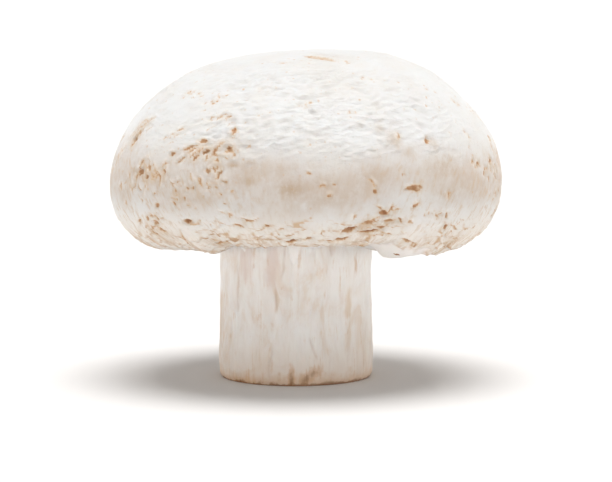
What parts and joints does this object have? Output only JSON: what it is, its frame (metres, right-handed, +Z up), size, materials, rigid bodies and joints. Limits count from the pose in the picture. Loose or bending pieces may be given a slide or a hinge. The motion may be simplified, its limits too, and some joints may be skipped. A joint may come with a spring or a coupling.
{
  "type": "button mushroom",
  "caption": "White button mushroom with a domed, closed cap over a thick stem cut flat; it stands upright on the cut end.",
  "frame": {"origin": "centre of the flat cut across the lower end of the stem, where the mushroom stands", "axes": "+Z up along the stem towards the crown; -Y is the side seen in front; +X is to the right of that view"},
  "size_m": [0.0497, 0.0484, 0.0416],
  "materials": {
    "cap_skin": "matte",
    "veil_membrane": "matte",
    "stem_flesh": "matte"
  },
  "bodies": {
    "root": {"cap": "cap_skin", "veil": "veil_membrane", "stem": "stem_flesh"}
  },
  "joints": []
}
